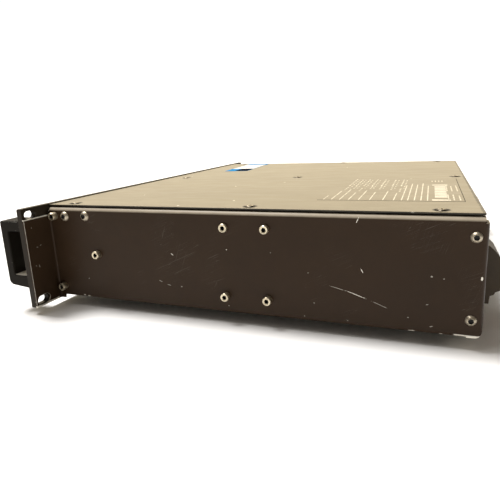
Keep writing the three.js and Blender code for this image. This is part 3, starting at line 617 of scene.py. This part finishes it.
# Dark steel for the cover screws' domed sides, dark partly as painted shade.
dark_steel = metal("dark_steel", (0.1, 0.085, 0.065), roughness=0.3, tarnish=(0.03, 0.02, 0.012))
guard_wire = metal("guard_wire", (0.62, 0.6, 0.56), roughness=0.25)
bare_aluminium = metal("bare_aluminium", (0.68, 0.69, 0.7), roughness=0.35, grain=(1, 25, 1))
pin_metal = metal("pin_metal", (0.72, 0.7, 0.64), roughness=0.22)
foot_rubber = moulded("foot_rubber", (0.02, 0.02, 0.02), roughness=0.8, depth=0.04)
black_plastic = moulded("black_plastic", (0.022, 0.022, 0.024), roughness=0.42)
post_plastic = moulded("post_plastic", (0.064, 0.048, 0.032), roughness=0.5, rubbed=0.2, ior=1.25)
red_plastic = moulded("red_plastic", (0.36, 0.02, 0.014), roughness=0.36)
winding = moulded("winding", (0.3, 0.09, 0.03), roughness=0.35)
circuit_board = moulded("circuit_board", (0.02, 0.12, 0.045), roughness=0.4, texture=2.5)
capacitor_sleeve = moulded("capacitor_sleeve", (0.02, 0.035, 0.1), roughness=0.3)
# Near-black laid in screw sockets and recesses as painted shade.
recess_shade = moulded("recess_shade", (0.012, 0.011, 0.01), roughness=0.7, rubbed=0.0)


def smoked_lens_finish():
    """Dark clear plastic with fine ribs across it."""
    finish = Finish("smoked_lens", Roughness=0.08, IOR=1.49, Coat_Weight=0.6, Coat_Roughness=0.05)
    ribs = finish.calc("SINE", finish.calc("MULTIPLY", finish.along("Z"), math.tau / 1.2))
    cloud = finish.ramp(finish.noise(6, 2, 0.5), 0.3, 0.7)
    tint = finish.mix(cloud, (0.014, 0.02, 0.012), (0.03, 0.038, 0.024))
    finish.feed(Base_Color=tint, Normal=finish.bump(ribs, 0.05))
    return finish.material


def printed(name, colour, fade=0.35, roughness=0.5, ior=1.3):
    """Ink or vinyl on the paint, faded and broken up in places."""
    finish = Finish(name, IOR=ior)
    worn = finish.ramp(finish.noise(5, 4, 0.7, w=2.0), 0.45, 0.75)
    base = finish.mix(finish.calc("MULTIPLY", worn, fade), colour, shade(colour, 0.45))
    finish.feed(Base_Color=base, Roughness=finish.ramp(worn, 0, 1, roughness, roughness + 0.15),
                Normal=finish.bump(finish.noise(1.5, 2, 0.5), 0.01))
    return finish.material


smoked_lens = smoked_lens_finish()
cover_ink = printed("cover_ink", (0.66, 0.59, 0.45), fade=0.45)
border_ink = printed("border_ink", (0.02, 0.015, 0.01), fade=0.2, ior=1.12)
panel_ink = printed("panel_ink", (0.55, 0.52, 0.46), fade=0.3)
rear_ink = printed("rear_ink", (0.6, 0.57, 0.5), fade=0.3)
sticker_white = printed("sticker_white", (0.62, 0.6, 0.565), fade=0.12, roughness=0.35)
sticker_blue = printed("sticker_blue", (0.03, 0.21, 0.44), fade=0.15, roughness=0.6, ior=1.0)
sticker_navy = printed("sticker_navy", (0.004, 0.006, 0.015), fade=0.1, roughness=0.6, ior=1.0)

# The finish of each material that the CAD has, and the nodes with a finish of their own.
FINISHES = {
    "panel_paint": panel_paint,
    "case_paint": case_rear,
    "handle_paint": handle_paint,
    "zinc_sheet": zinc_sheet,
    "screw_steel": screw_steel,
    "guard_wire": guard_wire,
    "foot_rubber": foot_rubber,
    "black_plastic": black_plastic,
    "red_plastic": red_plastic,
    "smoked_lens": smoked_lens,
    "winding": winding,
    "bare_aluminium": bare_aluminium,
    "circuit_board": circuit_board,
    "capacitor_sleeve": capacitor_sleeve,
}
OWN_FINISH = {
    "side_panel_right": case_right,
    "side_panel_left": case_left,
    "top_cover": cover_paint,
    "output_block_a": post_plastic,
    "output_block_b": post_plastic,
}
for name, made in nodes.items():
    packed = made.material_slots[0].material.name.split(".")[0]
    made.material_slots[0].material = OWN_FINISH.get(name) or FINISHES[packed]

# How wide the bevel on a node's edges is. The other nodes keep their sharp edges.
EDGE_ROUNDING = {
    "front_panel": 0.4,
    "handle_right": 0.9,
    "handle_left": 0.9,
    "side_panel_right": 0.25,
    "side_panel_left": 0.25,
    "top_cover": 0.2,
    "rear_panel": 0.2,
    "mode_slider": 0.15,
    "bottom_plate": 0.2,
    "output_block_a": 0.5,
    "output_block_b": 0.5,
    "power_switch_case": 0.3,
    "power_rocker": 0.5,
    "mains_inlet": 0.4,
    "input_socket_a": 0.3,
    "input_socket_b": 0.3,
}
for name in nodes:
    soften(name, EDGE_ROUNDING.get(name, 0))

# ---- fasteners ----


def cap_screw(mesh, place, height):
    """A hexagon socket cap screw: a knurled head with a chamfered rim and a deep socket."""
    rim = ribbed(3.5, 0.14, 20)
    socket = hexagon(3.3)
    rings = [(rim, 0), (rim, height - 0.5), (3.1, height), (2.3, height), (socket, height - 0.2)]
    turned(mesh, place, rings + [(socket, min(0.3, height - 2.6))], sides=60, dark=1)


def button_screw(mesh, place, radius, recess):
    """A domed head with a recess of the given outline, whose inside is painted dark as shade."""
    rings = [(1.0, 0), (0.97, 0.35), (0.86, 1.0), (0.7, 1.6), (0.58, 1.95)]
    rings = [(radius * share, height) for share, height in rings]
    turned(mesh, place, rings + [(recess, 2.05), (recess, 0.6)], sides=48, dark=1)


def pan_screw(mesh, place, radius, height, dark=1):
    """A low domed head with a cross recess. Its last few bands take the second finish."""
    recess = cross(radius * 0.5, radius * 0.14)
    rings = [(1.0, 0), (1.0, 0.25), (0.9, 0.65), (0.68, 0.9)]
    rings = [(radius * share, height * level) for share, level in rings]
    turned(mesh, place, rings + [(recess, height), (recess, height * 0.35)], sides=48, dark=dark)


# Cap screws are (y, z, height of head). Button screws are (y, z, radius of head, recess).
CAP_SCREWS = [
    (7.2, 77.5, 5.0), (49.3, 44.3, 4.2), (7.5, 12.2, 5.0),
    (171.6, 72.3, 2.6), (205.2, 72.3, 3.2), (170.7, 16.8, 4.6), (205.8, 16.8, 4.6),
]
BUTTON_SCREWS = [
    (18.2, 77.2, 4.2, hexagon(3.9)), (40.1, 77.8, 4.2, hexagon(3.9)),
    (347.5, 72.1, 3.7, hexagon(3.4)), (347.3, 15.5, 3.7, hexagon(3.4)),
]
dice = random.Random(4)
# The screws' sockets and recesses take the near-black finish: painted shade.
for side, x, outward in (("right", SIDE_FACE, RIGHT), ("left", -SIDE_FACE, -RIGHT)):
    for number, (y, z, height) in enumerate(CAP_SCREWS, 1):
        mesh = bmesh.new()
        cap_screw(mesh, facing(at(x, y, z), outward, dice.uniform(0, math.tau)), height)
        piece(f"side_cap_screw_{side}_{number}", mesh, [bolt_steel, recess_shade])
    for number, (y, z, radius, recess) in enumerate(BUTTON_SCREWS, 1):
        mesh = bmesh.new()
        button_screw(mesh, facing(at(x, y, z), outward, dice.uniform(0, math.tau)), radius, recess)
        piece(f"side_button_screw_{side}_{number}", mesh, [dull_steel, recess_shade])

HEAD_SEAT = 0.75  # how far below the cover's face the screws' heads start
for row in ("front", "centre", "rear"):
    for place in ("left", "middle", "right"):
        node = f"cover_screw_{row}_{place}"
        spot = middle(node)
        mesh = bmesh.new()
        seat = at(spot.x, spot.y, COVER_TOP - HEAD_SEAT)
        # Each head's domed sides take dark steel, partly painted shade; its top and recess take light steel
        # as a painted highlight.
        pan_screw(mesh, facing(seat, UP, dice.uniform(0, math.tau)), 3.5, 1.55, dark=2)
        shade_and_highlight_steels = [dark_steel, bolt_steel]
        piece(f"cover_screw_head_{row}_{place}", mesh, shade_and_highlight_steels, replaces=[node])

# ---- printing and sticker on the cover ----

INK = 0.05
PRINT_X = (20, 166)
PRINT_Y = (234, 343)
BOXED_Y = 327

# Where the columns of bars are, from front to rear: broken ones, long ones, and short ones behind the box.
COLUMNS = [244.8, 251.4, 258.5, 266.3, 274.8, 284.8, 292.8]
DENSE_COLUMNS = [298.6, 303.1, 307.9, 312.6, 317.3]
SHORT_COLUMNS = [332.2, 336.0, 340.2]


def dashes(mesh, chance, y, near, far, lengths, gap, thick=0.8):
    """A run of plain bars along X from one place to another, of varied lengths."""
    place = flat_on_top(0, 0, COVER_TOP)
    x = near
    while x - lengths[0] > far:
        length = min(chance.uniform(*lengths), x - far)
        prism(mesh, place, rectangle(length, thick, middle_u=x - length / 2, middle_v=y), 0, INK)
        x -= length + gap


def printed_block(mesh):
    """Columns of plain bars across the cover, with one boxed group and a short title row."""
    chance = random.Random(11)
    place = flat_on_top(0, 0, COVER_TOP)
    dashes(mesh, chance, 238.5, 163, 140, (3, 7), 1.5)
    for y in COLUMNS:
        near = chance.uniform(104, 126)
        dashes(mesh, chance, y, 163, near, (14, 30), 2.0)
        dashes(mesh, chance, y + 1.6, near - 6, near - 30, (2, 4), 5, 1.4)
        dashes(mesh, chance, y + 1.0, 80, 24, (3, 8), 5, 1.2)
        dashes(mesh, chance, y + 4.2, 96, 30, (2, 5), 8, 1.1)
    for y in DENSE_COLUMNS:
        dashes(mesh, chance, y, 163, chance.uniform(48, 84), (18, 44), 1.8)
    for x in (72, 160):
        prism(mesh, place, rectangle(6, 13, middle_u=x, middle_v=BOXED_Y), 0, INK)
    for x in range(84, 152, 10):
        prism(mesh, place, rectangle(7.5, 9, middle_u=x, middle_v=BOXED_Y), 0, INK)
    for y in SHORT_COLUMNS:
        dashes(mesh, chance, y, 160, 132, (4, 9), 2.0, 0.9)
        dashes(mesh, chance, y, 112, 76, (4, 9), 2.0, 0.9)
    for y in (320.5, 323.5, 326.5, 329.5):
        dashes(mesh, chance, y, 48, 38, (3, 5), 2.0, 1.1)


mesh = bmesh.new()
printed_block(mesh)
piece("cover_printing", mesh, cover_ink)

mesh = bmesh.new()
for x, y, long, wide in (
    (PRINT_X[1], sum(PRINT_Y) / 2, 1.0, PRINT_Y[1] - PRINT_Y[0]),
    (sum(PRINT_X) / 2, PRINT_Y[1], PRINT_X[1] - PRINT_X[0] - 1.0, 0.5),
):
    prism(mesh, flat_on_top(x, y, COVER_TOP), rectangle(long, wide), 0, INK)
piece("cover_printing_border", mesh, border_ink)

# The sticker's own X runs from its near end to its far end.
STICKER = {"x": -144, "y": 52.8, "long": 122, "wide": 34.5, "turn": math.radians(183.8), "thick": 0.15}
for name, outline, finish, layer in (
    ("sticker_sheet", rectangle(STICKER["long"], STICKER["wide"], 3), sticker_blue, 0),
    ("sticker_face", rectangle(70, STICKER["wide"] - 1.5, 1, middle_u=7), sticker_white, 1),
    ("sticker_bar", rectangle(30, 18, 1, middle_u=-44.5, middle_v=-7.5), sticker_navy, 1),
):
    mesh = bmesh.new()
    base = STICKER["thick"] * layer
    place = flat_on_top(STICKER["x"], STICKER["y"], COVER_TOP, STICKER["turn"])
    prism(mesh, place, outline, base, base + STICKER["thick"])
    piece(name, mesh, finish)

# ---- front panel ----

KNOBS = {channel: middle(f"gain_knob_{channel}").x for channel in "ab"}
KNOB_Z = middle("gain_shaft_a").z


def control_knob(mesh, place):
    """A fluted knob with a skirt and a dished face."""
    fluted = ribbed(9.9, 0.7, 18)
    top = ribbed(9.2, 0.5, 18)
    rings = [
        (3.3, 0), (12, 0), (12, 2.0), (11.3, 2.9), (fluted, 3.4), (fluted, 13.2),
        (top, 14.3), (8.2, 14.9), (7.4, 14.9), (6.6, 14.3),
    ]
    turned(mesh, place, rings, sides=144)


for channel, x in KNOBS.items():
    back = reach(f"gain_knob_{channel}")[1].y
    place = on_panel(x, KNOB_Z, back)
    body = f"gain_control_{channel}"
    mesh = bmesh.new()
    control_knob(mesh, place)
    replaced = [f"gain_knob_{channel}"]
    piece(f"knob_{channel}", mesh, black_plastic, body, replaces=replaced, sharp=50)
    mesh = bmesh.new()
    prism(mesh, place, rectangle(1.3, 7.4, 0.5, middle_v=6.2), 14.0, 15.2)
    prism(mesh, place, rectangle(1.3, 1.6, 0.4, middle_v=11), 2.3, 3.0)
    piece(f"knob_pointer_{channel}", mesh, panel_ink, body)
    mesh = bmesh.new()
    dial = on_panel(x, KNOB_Z)
    for i in range(11):
        angle = math.radians(240 - 30 * i)
        longer = i in (0, 5, 10)
        start = Vector((math.cos(angle), math.sin(angle))) * 14.2
        prism(mesh, dial, tilted_bar(start.x, start.y, 3.4 if longer else 2.2, 0.6, angle), 0, INK)
    prism(mesh, dial, rectangle(16, 1.4, middle_v=-19), 0, INK)
    piece(f"knob_scale_{channel}", mesh, panel_ink)
    mesh = bmesh.new()
    lens_x = middle(f"indicator_lens_{channel}").x
    legend = on_panel(lens_x, KNOB_Z)
    for i in range(5):
        prism(mesh, legend, rectangle(4 - 0.5 * i, 0.7, middle_u=6.5, middle_v=8 - 4 * i), 0, INK)
    piece(f"level_marks_{channel}", mesh, panel_ink)

mesh = bmesh.new()
case = middle("power_switch_case")
prism(mesh, on_panel(case.x, case.z - 19.5), rectangle(11, 1.4), 0, INK)
piece("switch_legend", mesh, panel_ink)

# A mark on the upper half of the rocker's face, laid on the plane of that half.
rocker = nodes["power_rocker"]
half = at(0, 0, case.z + 1).z
upper = [face for face in rocker.data.polygons if face.normal.y < -0.8 and face.center.z > half]
spots = [rocker.matrix_world @ rocker.data.vertices[i].co for face in upper for i in face.vertices]
centre = (Vector(min(p) for p in zip(*spots)) + Vector(max(p) for p in zip(*spots))) / 2
mesh = bmesh.new()
prism(mesh, facing(centre, upper[0].normal), rectangle(1.2, 4.5, 0.4), -0.05, 0.08)
piece("rocker_mark", mesh, panel_ink, "power_rocker")

# ---- rear panel ----

fan = middle("fan_guard")
GUARD_WIRE = 0.8
EYE = 30.5  # how far each fixing eye is from the fan's middle, across and up
HALF_ARM = math.hypot(EYE, EYE) - 3
guard = on_rear(fan.x, fan.z, REAR_FACE + GUARD_WIRE)
mesh = bmesh.new()
for ring in (12, 24, 36):
    torus(mesh, guard, ring, GUARD_WIRE, around=72)
for turn in (math.pi / 4, -math.pi / 4):
    lying = guard @ Matrix.Rotation(turn, 4, "Z") @ Matrix.Rotation(math.pi / 2, 4, "Y")
    turned(mesh, lying, [(GUARD_WIRE, -HALF_ARM), (GUARD_WIRE, HALF_ARM)], sides=12)
for u in (-EYE, EYE):
    for v in (-EYE, EYE):
        torus(mesh, guard @ Matrix.Translation((u, v, 0)), 3.2, GUARD_WIRE, around=24)
piece("fan_guard_wires", mesh, guard_wire, replaces=["fan_guard"])
# The fan screws' recesses take the near-black finish: painted shade.
for number, (u, v) in enumerate([(u, v) for u in (-EYE, EYE) for v in (-EYE, EYE)], 1):
    mesh = bmesh.new()
    place = on_rear(fan.x + u, fan.z + v, REAR_FACE + 0.2)
    pan_screw(mesh, place @ Matrix.Rotation(number, 4, "Z"), 3.1, 2.2)
    piece(f"fan_screw_{number}", mesh, [bolt_steel, recess_shade])

SOCKET_PLATE = 2.2  # how far the sockets' plates stand out
for channel in "ab":
    node = f"input_socket_{channel}"
    spot = middle(node)
    top = REAR_FACE + SOCKET_PLATE
    # The socket screws' recesses take the near-black finish: painted shade.
    for number, (u, v) in enumerate([(-9.6, 12), (9.6, -12)], 1):
        mesh = bmesh.new()
        place = on_rear(spot.x + u, spot.z + v, top)
        pan_screw(mesh, place @ Matrix.Rotation(number * 2, 4, "Z"), 2.5, 1.3)
        piece(f"socket_screw_{channel}_{number}", mesh, [bolt_steel, recess_shade])
    mesh = bmesh.new()
    place = on_rear(spot.x, spot.z, top)
    prism(mesh, place, rectangle(7, 3.6, 0.8, middle_v=12.9), -0.2, 1.0)
    prism(mesh, place, rectangle(5, 0.7, 0.2, middle_v=13.4), 1.0, 1.35)
    piece(f"socket_latch_{channel}", mesh, pin_metal)
    mesh = bmesh.new()
    for turn in (90, 210, 330):
        angle = math.radians(turn)
        hole = place @ Matrix.Translation((4 * math.cos(angle), 4 * math.sin(angle), 0))
        turned(mesh, hole, [(1.22, -3.2), (1.22, -2.3), (0.8, -2.3), (0.8, -3.2)], sides=20, hollow=True)
    piece(f"socket_contacts_{channel}", mesh, pin_metal)
    mesh = bmesh.new()
    prism(mesh, on_rear(spot.x, spot.z - 20.5), rectangle(14, 1.5), 0, INK)
    prism(mesh, on_rear(spot.x, spot.z + 20), rectangle(6, 1.5), 0, INK)
    piece(f"socket_legend_{channel}", mesh, rear_ink)

INLET_PLATE = 2.5  # how far the inlet's plate stands out
inlet = middle("mains_inlet")
# The inlet screws' recesses take the near-black finish: painted shade.
for number, u in enumerate((-20, 20), 1):
    mesh = bmesh.new()
    place = on_rear(inlet.x + u, inlet.z, REAR_FACE + INLET_PLATE)
    pan_screw(mesh, place @ Matrix.Rotation(number, 4, "Z"), 2.6, 1.2)
    piece(f"inlet_screw_{number}", mesh, [bolt_steel, recess_shade])
mesh = bmesh.new()
breaker = middle("breaker")
for x, z, width in (
    (breaker.x, breaker.z - 18, 12),
    (inlet.x, inlet.z - 17, 22),
    (inlet.x, inlet.z - 20.5, 14),
):
    prism(mesh, on_rear(x, z), rectangle(width, 1.4), 0, INK)
HALF_TRAVEL = 2.75  # the slider rests at one end of its slot, and the marks are level with its middle
slider = middle("mode_slider")
for u in (-9.5, 9.5):
    prism(mesh, on_rear(slider.x + HALF_TRAVEL + u, slider.z), rectangle(3.5, 1.2), 0, INK)
piece("rear_legends", mesh, rear_ink)

for channel in "ab":
    face = reach(f"binding_cap_{channel}_plus")[0].y
    for sign, finish, slot in (
        ("plus", red_plastic, "red_plastic"),
        ("minus", black_plastic, "black_plastic"),
    ):
        node = f"binding_cap_{channel}_{sign}"
        spot = middle(node)
        length = reach(node)[1].y - reach(node)[0].y
        grip, edge = ribbed(8.0, 0.7, 18), ribbed(7.3, 0.4, 18)
        mesh = bmesh.new()
        rings = [
            (3.5, 0), (6.6, 0), (7.9, 2.4), (7.9, 3.2), (7.2, 3.5), (grip, 3.8), (grip, length - 0.9),
            (edge, length), (5.6, length), (5.2, length - 0.6), (3.6, length - 0.6),
        ]
        turned(mesh, on_rear(spot.x, spot.z, face), rings, sides=108, hollow=True)
        piece(f"post_cap_{channel}_{sign}", mesh, finish, node, replaces=[node], sharp=50)
        mesh = bmesh.new()
        stud = on_rear(spot.x, spot.z, face - 0.3)
        rings = [(3.06, 0.4), (3.06, 10.8), (2.8, 11.05), (1.94, 11.05), (1.94, 3.1)]
        turned(mesh, stud, rings, sides=36, hollow=True)
        piece(f"post_stud_{channel}_{sign}", mesh, pin_metal)

# ---- stage ----

floor_finish = Finish("floor", Roughness=0.75)
floor_tone = floor_finish.ramp(floor_finish.noise(400, 2, 0.5), 0.3, 0.7)
floor_finish.feed(Base_Color=floor_finish.mix(floor_tone, (0.84, 0.835, 0.83), (0.87, 0.865, 0.86)))
mesh = bmesh.new()
bmesh.ops.create_grid(mesh, x_segments=4, y_segments=4, size=30)
data = bpy.data.meshes.new("floor")
mesh.to_mesh(data)
mesh.free()
data.materials.append(floor_finish.material)
floor = bpy.data.objects.new("floor", data)
scene.collection.objects.link(floor)

# ---- light ----

world = bpy.data.worlds.new("studio")
scene.world = world
world.use_nodes = True
tree = world.node_tree
surround = tree.nodes["Background"]
surround.inputs["Color"].default_value = (1.0, 0.92, 0.81, 1)
surround.inputs["Strength"].default_value = 0.22
backdrop = tree.nodes.new("ShaderNodeBackground")
backdrop.inputs["Color"].default_value = (1, 1, 1, 1)
backdrop.inputs["Strength"].default_value = 1.05
path = tree.nodes.new("ShaderNodeLightPath")
choice = tree.nodes.new("ShaderNodeMixShader")
tree.links.new(path.outputs["Is Camera Ray"], choice.inputs[0])
tree.links.new(surround.outputs[0], choice.inputs[1])
tree.links.new(backdrop.outputs[0], choice.inputs[2])
tree.links.new(choice.outputs[0], tree.nodes["World Output"].inputs["Surface"])


def lamp(name, kind, energy, colour, place, towards=(0, 0, 0), **settings):
    data = bpy.data.lights.new(name, kind)
    data.energy = energy
    data.color = colour
    for key, value in settings.items():
        setattr(data, key, value)
    made = bpy.data.objects.new(name, data)
    made.location = place
    made.rotation_euler = (Vector(towards) - Vector(place)).to_track_quat("-Z", "Y").to_euler()
    made.visible_camera = False
    scene.collection.objects.link(made)


lamp("overhead", "SUN", 5.0, (1.0, 0.985, 0.97), (-0.3, -0.9, 2.0), angle=math.radians(22))
lamp("ceiling", "AREA", 16, (1.0, 0.97, 0.93), (0.4, -0.7, 2.4), shape="RECTANGLE", size=1.2, size_y=1.2)
lamp("warm_wall", "AREA", 46, (1.0, 0.84, 0.57), (-2.4, -0.9, 0.7), (0, 0, 0.1),
     shape="RECTANGLE", size=5.5, size_y=1.5)

scene.view_settings.view_transform = "Standard"
scene.view_settings.look = "None"

# ---- camera ----

lens = bpy.data.cameras.new("lens")
lens.lens = 32.8
lens.sensor_width = 36
lens.shift_x = -0.0144
lens.shift_y = -0.0284
lens.clip_start = 0.01
camera = bpy.data.objects.new("camera", lens)
camera.location = at(522.2, 318.2, 144.7)
camera.rotation_euler = Euler([math.radians(turn) for turn in (76.82, 2.5, 110.45)])
scene.collection.objects.link(camera)
scene.camera = camera
